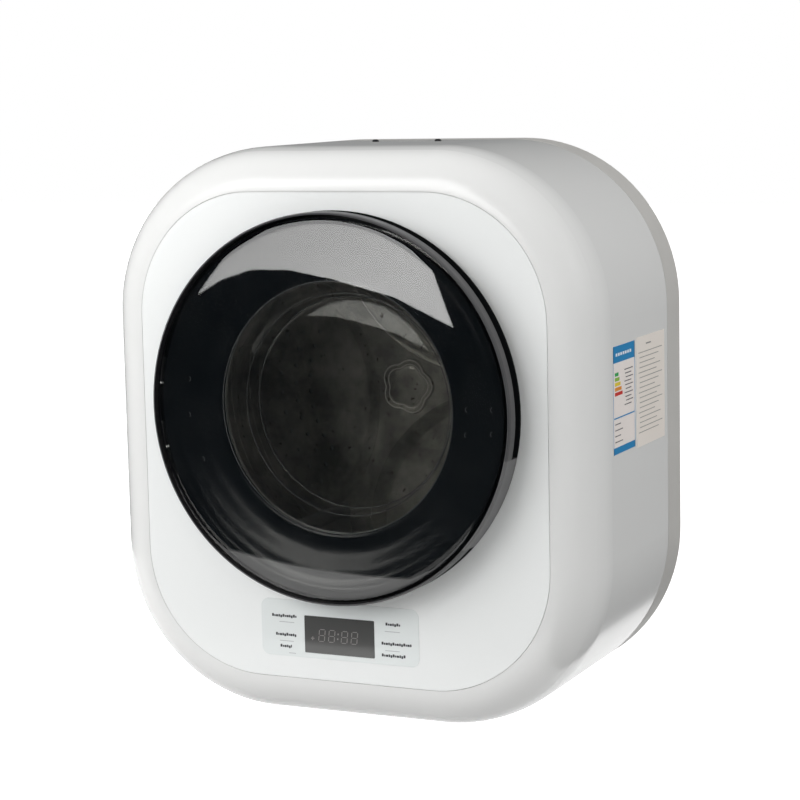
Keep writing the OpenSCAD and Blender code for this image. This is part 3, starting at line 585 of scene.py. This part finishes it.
# Each row is (left, right, height), in millimetres from the body's centre.
MARK_ROWS = ((-84, -55, -189.5), (-80, -56, -209.5), (-75, -61.5, -222),
             (48, 65, -189.5), (43, 77, -210), (43, 70, -222.5))
LINE_ROWS = ((-75.5, -58, -196), (-75.5, -59, -216.3), (-65, -57, -229),
             (47, 64, -197), (47, 63.5, -217.3))
BLOCK_WIDTHS = (2.2, 1.5, 2.6, 1.8, 2.0)
BLOCK_TOPS = (1.9, 1.0, 1.1, 1.5, 0.9)
BLOCK_FEET = (1.2, 1.3, 1.2, 2.0, 1.3)
BLOCK_GAP = 0.45
LINE_HALF = 0.35


def add_key_marks():
    """Rows of small uneven blocks in place of words, and a thin line under each touch key."""
    dark = []
    for x0, x1, z in MARK_ROWS:
        x = x0
        step = 0
        while x < x1 - 1:
            run = min(x1 - x, BLOCK_WIDTHS[step % 5])
            dark.append((x, x + run, z - BLOCK_FEET[step * 2 % 5], z + BLOCK_TOPS[step % 5]))
            x += run + BLOCK_GAP
            step += 1
    lines = [(x0, x1, z - LINE_HALF, z + LINE_HALF) for x0, x1, z in LINE_ROWS]
    film = on_front(FILM_Y)
    new_piece("key_marks", bars_mesh("key_marks", dark, 0.05, film, 0.4), "root",
              ink("mark_black", (0.03, 0.03, 0.035)))
    new_piece("key_lines", bars_mesh("key_lines", lines, 0.05, film, 0.2), "root",
              ink("line_grey", (0.45, 0.46, 0.48)))


# The head's outline: (share of the plug's radius, height over its top in millimetres).
PLUG_HEAD = ((1.02, -0.2), (1.05, 0.5), (0.98, 1.2), (0.8, 1.9), (0.5, 2.4))


def add_plug_caps():
    """The low domed heads of the two plugs in the top."""
    low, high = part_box("top_plugs")
    radius = (high[1] - low[1]) / 2
    y = low[1] + radius
    steps = 28
    turns = [2 * math.pi * k / steps for k in range(steps)]
    shape = bmesh.new()
    for x in (low[0] + radius, high[0] - radius):
        rows = [[shape.verts.new((x + radius * reach * math.cos(a),
                                  y + radius * reach * math.sin(a), high[2] + rise * MM))
                 for a in turns] for reach, rise in PLUG_HEAD]
        for one, two in zip(rows, rows[1:]):
            for k in range(steps):
                j = (k + 1) % steps
                shape.faces.new((one[k], one[j], two[j], two[k]))
        shape.faces.new(rows[0][::-1])
        shape.faces.new(rows[-1])
    for face in shape.faces:
        face.smooth = len(face.verts) == 4
    new_piece("plug_caps", close_mesh("plug_caps", shape), "root",
              moulded("plug_black", (0.02, 0.02, 0.022), 0.45))


SCALE_COLOURS = ((0.05, 0.42, 0.12), (0.30, 0.55, 0.08), (0.80, 0.62, 0.05), (0.80, 0.30, 0.04),
                 (0.65, 0.05, 0.04))


def add_rating_label():
    """A generic label: blue frame and header, coloured scale bars and grey lines, with no words."""
    low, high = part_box("rating_label")
    side = on_right(high[0])
    y0, y1 = low[1] / MM, high[1] / MM
    z0, z1 = low[2] / MM, high[2] / MM
    blue = [(y0, y1, z1 - 17, z1), (y0, y1, z0, z0 + 7), (y0, y0 + 1, z0, z1),
            (y1 - 1, y1, z0, z1), (y0 + 2, y1 - 2, z1 - 74, z1 - 72.6)]
    white = [(y0 + 8 + i * 7, y0 + 13 + i * 7, z1 - 10.5, z1 - 7.5) for i in range(7)]
    for i, colour in enumerate(SCALE_COLOURS):
        top = z1 - 27 - i * 5
        bar = [(y0 + 5, y0 + 16 + i * 3, top - 3.6, top)]
        name = f"label_scale_{i + 1}"
        new_piece(name, bars_mesh(name, bar, 0.05, side), "root",
                  ink(f"scale_ink_{i + 1}", colour))
    grey = [(y0 + 34 + (i % 3) * 2, y1 - 6 - (i % 2) * 5, z1 - 27 - i * 4, z1 - 26 - i * 4)
            for i in range(10)]
    grey += [(y0 + 5, y0 + 22 + (i % 2) * 6, z1 - 80 - i * 6, z1 - 79 - i * 6)
             for i in range(4)]
    new_piece("label_blue", bars_mesh("label_blue", blue, 0.04, side), "root",
              ink("label_blue_ink", (0.03, 0.26, 0.55)))
    new_piece("label_header_marks", bars_mesh("label_header_marks", white, 0.08, side), "root",
              ink("label_white_ink", (0.8, 0.85, 0.9)))
    new_piece("label_lines", bars_mesh("label_lines", grey, 0.05, side), "root",
              ink("label_grey_ink", (0.12, 0.12, 0.13)))


def add_care_label():
    """Rows of short grey lines with no words."""
    low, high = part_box("care_label")
    y0, y1 = low[1] / MM, high[1] / MM
    z1 = high[2] / MM
    rows = [(y0 + 30, y0 + 46, z1 - 9.5, z1 - 8)]
    for i in range(17):
        end = y1 - 8 - (i * 7 % 5) * 6
        rows.append((y0 + 6 + (3 if i % 4 else 0), end, z1 - 17 - i * 5.2, z1 - 16.2 - i * 5.2))
    mesh = bars_mesh("care_lines", rows, 0.05, on_right(high[0]))
    new_piece("care_lines", mesh, "root", ink("care_grey_ink", (0.30, 0.29, 0.28)))


# ---- turned and piped shapes ----

LOBE_VALLEY = 0.05
LOBE_MIDDLE = 1.35
CREASE_ANGLE = math.radians(40)


def lobed(angle, lobes, depth, phase):
    """The reach at an angle of a flower with broad lobes and narrow valleys, about 1 on average."""
    if not lobes:
        return 1.0
    wave = math.cos(lobes * (angle - phase) / 2) ** 2
    return 1 + depth * (2 * math.sqrt(wave + LOBE_VALLEY) - LOBE_MIDDLE)


def turned_mesh(name, profile, steps=192, lobes=0, depth=0.0, phase=0.0, at=(0, 0)):
    """A closed profile turned about the drum axis, or about a line beside it moved by at.

    Profile points are (radius, distance from the wall) in millimetres. With lobes, the radius
    swells and shrinks by depth around the turn, for a flower shape."""
    shape = bmesh.new()
    rings = []
    for r, d in profile:
        if r < 1e-6:
            rings.append([shape.verts.new((at[0] * MM, -d * MM, DRUM_Z + at[1] * MM))])
            continue
        ring = []
        for k in range(steps):
            a = 2 * math.pi * k / steps
            reach = r * lobed(a, lobes, depth, phase) * MM
            ring.append(shape.verts.new((at[0] * MM + reach * math.cos(a), -d * MM,
                                         DRUM_Z + at[1] * MM + reach * math.sin(a))))
        rings.append(ring)
    for one, two in zip(rings, rings[1:] + rings[:1]):
        for k in range(steps):
            j = (k + 1) % steps
            corners = [one[k % len(one)], one[j % len(one)], two[j % len(two)], two[k % len(two)]]
            corners = list(dict.fromkeys(corners))
            if len(corners) > 2:
                shape.faces.new(corners)
    smooth_outward(shape)
    mesh = close_mesh(name, shape)
    mesh.set_sharp_from_angle(angle=CREASE_ANGLE)
    return mesh


def tube_mesh(name, points, radius, sides=10, closed=False):
    """A round bead along a path of (x, distance from the wall, height) points in millimetres."""
    shape = bmesh.new()
    places = [Vector((x * MM, -d * MM, z * MM)) for x, d, z in points]
    rings = []
    count = len(places)
    for i, place in enumerate(places):
        before = places[i - 1] if closed or i > 0 else place
        after = places[(i + 1) % count] if closed or i < count - 1 else place
        along = (after - before).normalized()
        out = Vector((0, -1, 0))
        side = along.cross(out).normalized()
        out = side.cross(along)
        ring = []
        for k in range(sides):
            a = 2 * math.pi * k / sides
            reach = (side * math.cos(a) + out * math.sin(a)) * radius * MM
            ring.append(shape.verts.new(place + reach))
        rings.append(ring)
    pairs = list(zip(rings, rings[1:]))
    if closed:
        pairs.append((rings[-1], rings[0]))
    else:
        shape.faces.new(rings[0][::-1])
        shape.faces.new(rings[-1])
    for one, two in pairs:
        for k in range(sides):
            j = (k + 1) % sides
            shape.faces.new((one[k], one[j], two[j], two[k]))
    smooth_outward(shape)
    return close_mesh(name, shape)


def arc(radius, depth, start, end, steps, centre=(0, 0)):
    """Points of an arc about the drum axis, moved by centre, in degrees up from the right."""
    turns = [math.radians(start + (end - start) * i / steps) for i in range(steps + 1)]
    return [(centre[0] + radius * math.cos(a), depth,
             DRUM_Z / MM + centre[1] + radius * math.sin(a)) for a in turns]


def beside(radius, angle):
    """A point this far from the drum axis, as millimetres across and up."""
    return radius * math.cos(math.radians(angle)), radius * math.sin(math.radians(angle))


def dome_arc(big_radius, crown, edge, steps):
    """Profile points of a dome from its crown out to the radius edge."""
    centre = crown - big_radius
    radii = [edge * i / steps for i in range(steps + 1)]
    return [(r, centre + math.sqrt(big_radius ** 2 - r * r)) for r in radii]


# ---- the door and the drum ----

def add_lens(material):
    """The smoked dome: the CAD's outline, turned finely enough to mirror the lights cleanly."""
    low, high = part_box("door_lens")
    reach = high[0] / MM
    crown = -low[1] / MM
    foot = -high[1] / MM
    thick, corner, fall = 3.0, 3.5, 22.2
    span = reach - corner
    big = (span ** 2 + fall ** 2 - corner ** 2) / (2 * (fall - corner))
    turn = math.asin(span / (big - corner))
    outer = dome_arc(big, crown, big * math.sin(turn), 60)
    edge = [(span + corner * math.sin(a), crown - fall + corner * math.cos(a))
            for a in [turn + (math.pi / 2 - turn) * i / 8 for i in range(1, 9)]]
    inner = [(reach - thick, foot), (reach - thick, crown - fall)]
    inner += dome_arc(big - thick, crown - thick, (big - thick) * math.sin(turn), 40)[::-1]
    mesh = turned_mesh("lens_dome", outer + edge + [(reach, foot)] + inner)
    new_piece("lens_dome", mesh, "door", material)
    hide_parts("door_lens")


def add_bowl(material):
    """The clear bowl, with its stepped wall, domed bottom and rounded foot."""
    low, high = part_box("door_glass")
    bottom = -high[1] / MM
    top = -low[1] / MM
    flange = high[0] / MM
    crown, foot, thick = 11.6, 114.0, 3.0
    big = (foot ** 2 + crown ** 2) / (2 * crown)
    window = flange - 10
    step = FRONT_DEPTH - 20
    inside = dome_arc(big, bottom + thick + crown, foot - 8, 30)
    inside += [(foot - 6.5, bottom + 4.2), (foot - 4.8, bottom + 5.2), (foot - 3.4, bottom + 7.2),
               (foot - 3, bottom + 9.5), (foot + 1, step), (foot + 2.4, step + 1),
               (foot + 4, step + 3), (foot + 6, step + 4.2), (window - 6, top - 8),
               (window - 4.6, top - 4), (window - 2.6, top - 1), (window, top)]
    outside = [(flange, top), (flange, top - thick), (window, top - thick - 0.5),
               (window - 2, top - 8), (foot + 8.4, step + 3), (foot + 6, step + 1),
               (foot + 4, step - 1), (foot, bottom + 8), (foot - 0.7, bottom + 4.6),
               (foot - 2.6, bottom + 1.8), (foot - 5.4, bottom + 0.3)]
    outside += dome_arc(big - thick, bottom + crown, foot - 8, 30)[::-1]
    new_piece("bowl", turned_mesh("bowl", inside + outside), "door", material)
    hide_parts("door_glass")


def funnel_tilt(inward, outward):
    """The funnel's slope in degrees, at so many millimetres from its lip and from its rim.

    A gentle slope has a fuller band in its middle, and turns up towards the rim."""
    gentle, band, rim = 5, 16, 26
    band_middle, band_width = 28, 12
    rim_start, rim_blur = 15, 2.5
    return (gentle + band * math.exp(-((inward - band_middle) / band_width) ** 2)
            + rim / (1 + math.exp((outward - rim_start) / rim_blur)))


def add_funnel(material):
    """The black funnel between the clear bowl and the dome, hollowed a little for a soft sheen."""
    low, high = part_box("door_frame")
    lip = 131.0
    reach = high[0] / MM
    face = FRONT_DEPTH
    top = -low[1] / MM
    back = -high[1] / MM
    front = [(lip, face + 6.7), (lip + 1.2, face + 7.8)]
    radius, depth, step = lip + 4, face + 8.2, 1.2
    while radius < reach - 8:
        front.append((radius, depth))
        tilt = funnel_tilt(radius - lip, reach - radius)
        depth = min(depth + step * math.tan(math.radians(tilt)), top - 0.3)
        radius += step
    front += [(reach - 7, top), (reach, top)]
    behind = [(reach, top - 2.6), (reach - 6.7, top - 2.6), (reach - 13.7, top - 9),
              (lip + 9.6, back + 2.2), (lip + 9, back), (lip, back)]
    mesh = turned_mesh("frame_funnel", front + behind)
    new_piece("frame_funnel", mesh, "door", material)
    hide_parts("door_frame")


# Each bead is (name, radius, distance in front of the panel, thickness / 2).
BEADS = (("window_bead", 130.8, 7.2, 0.55), ("foot_bead", 111.4, -36.6, 0.7),
         ("step_bead", 116.2, -18, 0.35))
BOSS_PLACE = (163, 18.6)
# Each clip mark is (radius, angle, distance in front of the panel).
CLIP_MARKS = ((149, 1.8, 11.3), (149, -8.1, 11.3), (180, 2.2, 20), (180, -5.6, 20),
              (168, 184, 16.9), (168, 171, 16.9), (164, 201, 16))


def add_door_details(black, bead):
    """The beads on the glass rims, the dome's gasket, and the funnel's boss and clip marks."""
    for name, radius, out, half in BEADS:
        path = arc(radius, FRONT_DEPTH + out, 0, 357, 119)
        new_piece(name, tube_mesh(name, path, half, closed=True), "door", bead)
    face = FRONT_DEPTH + 17
    boss = [(5.2, face - 3), (5.2, face), (4.8, face + 0.7), (4.0, face + 0.7), (3.6, face),
            (3.5, face - 2.2), (1.5, face - 2.2), (1.3, face - 0.8), (0, face - 0.8), (0, face - 3)]
    mesh = turned_mesh("frame_boss", boss, 40, at=beside(*BOSS_PLACE))
    new_piece("frame_boss", mesh, "door", black)
    far_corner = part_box("door_lens")[1]
    foot = -far_corner[1] / MM
    reach = far_corner[0] / MM
    gasket = [(reach - 6.6, foot - 1.2), (reach - 0.4, foot - 1.2), (reach - 0.2, foot - 0.9),
              (reach - 0.2, foot - 0.2), (reach - 6.6, foot - 0.2)]
    new_piece("lens_gasket", turned_mesh("lens_gasket", gasket), "door", black)
    joined = bmesh.new()
    for radius, angle, out in CLIP_MARKS:
        path = arc(2.6, FRONT_DEPTH + out, angle + 110, angle + 250, 8, beside(radius, angle))
        mesh = tube_mesh("mark", path, 0.35, 6)
        joined.from_mesh(mesh)
        bpy.data.meshes.remove(mesh)
    new_piece("clip_marks", close_mesh("clip_marks", joined), "door", bead)


HUB_LOBES = 5
HUB_DEPTH = 0.1
HUB_PHASE = math.radians(2.5)
# The hub's profile: (radius, height over its base).
HUB_RIDGE = ((29.2, 0), (28.8, 1.4), (28.0, 2.6), (26.9, 3.4), (25.6, 3.6), (24.4, 3.2),
             (23.5, 2.4), (23.0, 1.6), (22.0, 1.3), (20.6, 1.5), (19.6, 2.0), (18.4, 2.3),
             (9.0, 2.4), (0, 2.4), (0, 0))
# Each painted highlight line is (name, radius, height over the hub's base, thickness / 2): a
# near-white tube along one edge of the ridge.
HUB_HIGHLIGHT_LINES = (("hub_outer_painted_highlight", 27.6, 3.2, 0.8), ("hub_inner_painted_highlight", 23.2, 2.0, 0.7))
CREASE_STEPS = 180


def add_hub(material, bright):
    """The pressed flower in the drum's back: a rounded ridge round a slightly raised centre, with
    near-white tubes along the ridge's edges as painted highlights.
    """
    base = -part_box("drum_hub")[1][1] / MM
    ridge = [(radius, base + rise) for radius, rise in HUB_RIDGE]
    mesh = turned_mesh("hub_flower", ridge, 240, HUB_LOBES, HUB_DEPTH, HUB_PHASE)
    new_piece("hub_flower", mesh, "drum", material)
    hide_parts("drum_hub")
    for name, radius, rise, half in HUB_HIGHLIGHT_LINES:
        points = []
        for k in range(CREASE_STEPS):
            a = 2 * math.pi * k / CREASE_STEPS
            reach = radius * lobed(a, HUB_LOBES, HUB_DEPTH, HUB_PHASE)
            points.append((reach * math.cos(a), base + rise, DRUM_Z / MM + reach * math.sin(a)))
        mesh = tube_mesh(name, points, half, 8, True)
        new_piece(name, mesh, "drum", bright)


# A star edge is an arc about a centre far out between two arms, seen from the drum axis.
STAR_CENTRE = 200
STAR_TURN = 65
STAR_EDGE = 164.6
STAR_STEPS = 72
# Its section: (radius about that centre, drop below the hub's base).
STAR_SECTION = ((164.6, -0.1), (163, 0.1), (161, 0.7), (158, 2.2), (154, 4.6), (150, 6.8),
                (146, 8.2), (142, 8.85), (142, 9.1), (164.6, 9.1))


def add_star_edges(material, bright):
    """The rolled edges of the star pressed into the drum's back, with a crease along each; the
    first crease, on the edge that faces the light, is a near-white painted highlight.
    """
    top = -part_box("drum_hub")[1][1] / MM
    for i in range(3):
        turn = STAR_TURN + i * 120
        middle = beside(STAR_CENTRE, turn)
        shape = bmesh.new()
        rows = []
        for radius, drop in STAR_SECTION:
            spread = 53 + (STAR_EDGE - radius) * 0.3
            path = arc(radius, top - drop, turn + 180 - spread, turn + 180 + spread, STAR_STEPS,
                       middle)
            rows.append([shape.verts.new((x * MM, -d * MM, z * MM)) for x, d, z in path])
        for one, two in zip(rows, rows[1:] + rows[:1]):
            for k in range(STAR_STEPS):
                shape.faces.new((one[k], one[k + 1], two[k + 1], two[k]))
        for k in (0, STAR_STEPS):
            shape.faces.new([row[k] for row in rows])
        smooth_outward(shape)
        name = f"star_edge_{i + 1}"
        mesh = close_mesh(name, shape)
        mesh.set_sharp_from_angle(angle=math.radians(50))
        new_piece(name, mesh, "drum", material)
        crease = arc(164.2, top - 0.1, turn + 180 - 50, turn + 180 + 50, 60, middle)
        name = f"star_crease_{i + 1}"
        # The first crease is near-white, a painted highlight; the other two take the drum's steel.
        finish = bright if i == 0 else material
        new_piece(name, tube_mesh(name, crease, 0.7, 8), "drum", finish)


# ---- finishes ----

def paint(material, *names):
    """Gives every slot of the named nodes one material."""
    for name in names:
        slots = NODES[name].data.materials
        if len(slots) == 0:
            slots.append(material)
        for i in range(len(slots)):
            slots[i] = material


def finish_nodes():
    """A material for every node, and those that the added pieces share."""
    zinc = sheet_metal("zinc_sheet", (0.56, 0.58, 0.59), 0.42, 0.9, (1, 1, 3), 0.5)
    plate = sheet_metal("steel_plate", (0.50, 0.51, 0.53), 0.38)
    bright = turned_metal("polished_steel", (0.72, 0.73, 0.74), 0.2)
    screws = turned_metal("screw_steel", (0.58, 0.59, 0.60), 0.3)
    drum = drum_steel()
    ducting = moulded("ducting_plastic", (0.62, 0.63, 0.64), 0.5, 700, 0.03)
    dark = moulded("dark_plastic", (0.025, 0.026, 0.028), 0.45)
    board = circuit_board()
    black = moulded("gloss_black", (0.0050, 0.0074, 0.0098), 0.22, 60, 0.001, 0.1)
    paint(gloss_white("white_shell", (0.79, 0.792, 0.785)), "cabinet_shell", "filter_lid")
    paint(gloss_white("white_panel", (0.89, 0.905, 0.90), 0.28), "front_panel")
    paint(moulded("grey_cover", (0.56, 0.55, 0.53), 0.5, 1600, 0.04), "rear_cover", "rear_panel")
    paint(moulded("film", (0.80, 0.835, 0.83), 0.2, 300, 0.005, 0.01, 0.4), "control_overlay")
    paint(moulded("display", (0.078, 0.078, 0.076), 0.12, 200, 0.002, 0.05, 0.5), "display_window")
    paint(zinc, "front_bulkhead", "rear_bulkhead", "heater_box", "exhaust_duct", "exhaust_collar",
          "blower_cover", "motor_mount")
    paint(plate, "wall_bracket", "bearing_housing")
    paint(screws, "case_screws", "door_screws")
    paint(bright, "drum_shaft", "motor_shaft", "door_strike")
    blackened = sheet_metal("blackened_steel", (0.022, 0.022, 0.024), 0.5, 0.4)
    paint(blackened, "hinge_bracket", "hinge_pins", "hinge_leaf")
    paint(felt(), "felt_seal")
    paint(board, "display_board", "main_board", "reed_switch")
    paint(ducting, "board_tray", "blower_housing", "filter_chute", "blower_wheel")
    paint(moulded("motor_case", (0.16, 0.17, 0.18), 0.4, 500, 0.05), "motor_housing")
    paint(turned_metal("capacitor_can", (0.70, 0.71, 0.72), 0.3), "motor_capacitor")
    paint(heat_tinted(), "heater_elements")
    paint(moulded("cutout_ceramic", (0.66, 0.62, 0.52), 0.6), "thermal_cutout")
    paint(turned_metal("bronze", (0.60, 0.42, 0.20), 0.35), "drum_bearing")
    paint(dark, "top_plugs", "cable_gland", "door_catch")
    paint(belt_rubber(), "drive_belt")
    paint(paper("label_print", (0.92, 0.855, 0.82)), "rating_label")
    paint(paper("label_plain", (0.90, 0.84, 0.78)), "care_label")
    paint(ring_plastic(), "door_ring")
    paint(see_through("smoked_lens", (0.80, 0.82, 0.83)), "door_lens")
    paint(black, "door_frame")
    paint(see_through("bowl_glass", (0.93, 0.94, 0.94), 0.03, 1.0, 0.006), "door_glass")
    paint(moulded("back_grey", (0.52, 0.53, 0.54), 0.45), "door_back")
    paint(moulded("seal_rubber", (0.03, 0.03, 0.032), 0.6, 800, 0.05), "door_seal")
    paint(moulded("magnet", (0.07, 0.07, 0.075), 0.5), "door_magnet")
    paint(drum, "drum_shell", "drum_front_ring", "drum_back", "drum_hub")
    paint(moulded("baffle_plastic", (0.34, 0.35, 0.36), 0.4), "drum_baffle_1", "drum_baffle_2",
          "drum_baffle_3")
    paint(turned_metal("pulley_alloy", (0.50, 0.51, 0.52), 0.35), "motor_pulley")
    paint(moulded("filter_plastic", (0.08, 0.20, 0.36), 0.4), "filter_frame")
    paint(fine_mesh(), "filter_mesh")
    return {"black": black, "drum": drum,
            # A near-white finish for tubes along the drum's creases: painted highlights, not the
            # steel's colour.
            "crease": moulded("painted_highlight_white", (0.90, 0.89, 0.86), 0.4, 600, 0.01),
            "bead": moulded("glass_bead", (0.16, 0.165, 0.17), 0.12, 300, 0.004),
            "lens": see_through("lens_glass", (0.82, 0.82, 0.81)),
            "bowl": see_through("bowl_clear", (0.95, 0.945, 0.93), 0.03, 0.72)}


add_camera()
add_stage()
add_light()
finishes = finish_nodes()
add_display()
add_key_marks()
add_plug_caps()
add_rating_label()
add_care_label()
add_lens(finishes["lens"])
add_bowl(finishes["bowl"])
add_funnel(finishes["black"])
add_door_details(finishes["black"], finishes["bead"])
add_hub(finishes["drum"], finishes["crease"])
add_star_edges(finishes["drum"], finishes["crease"])
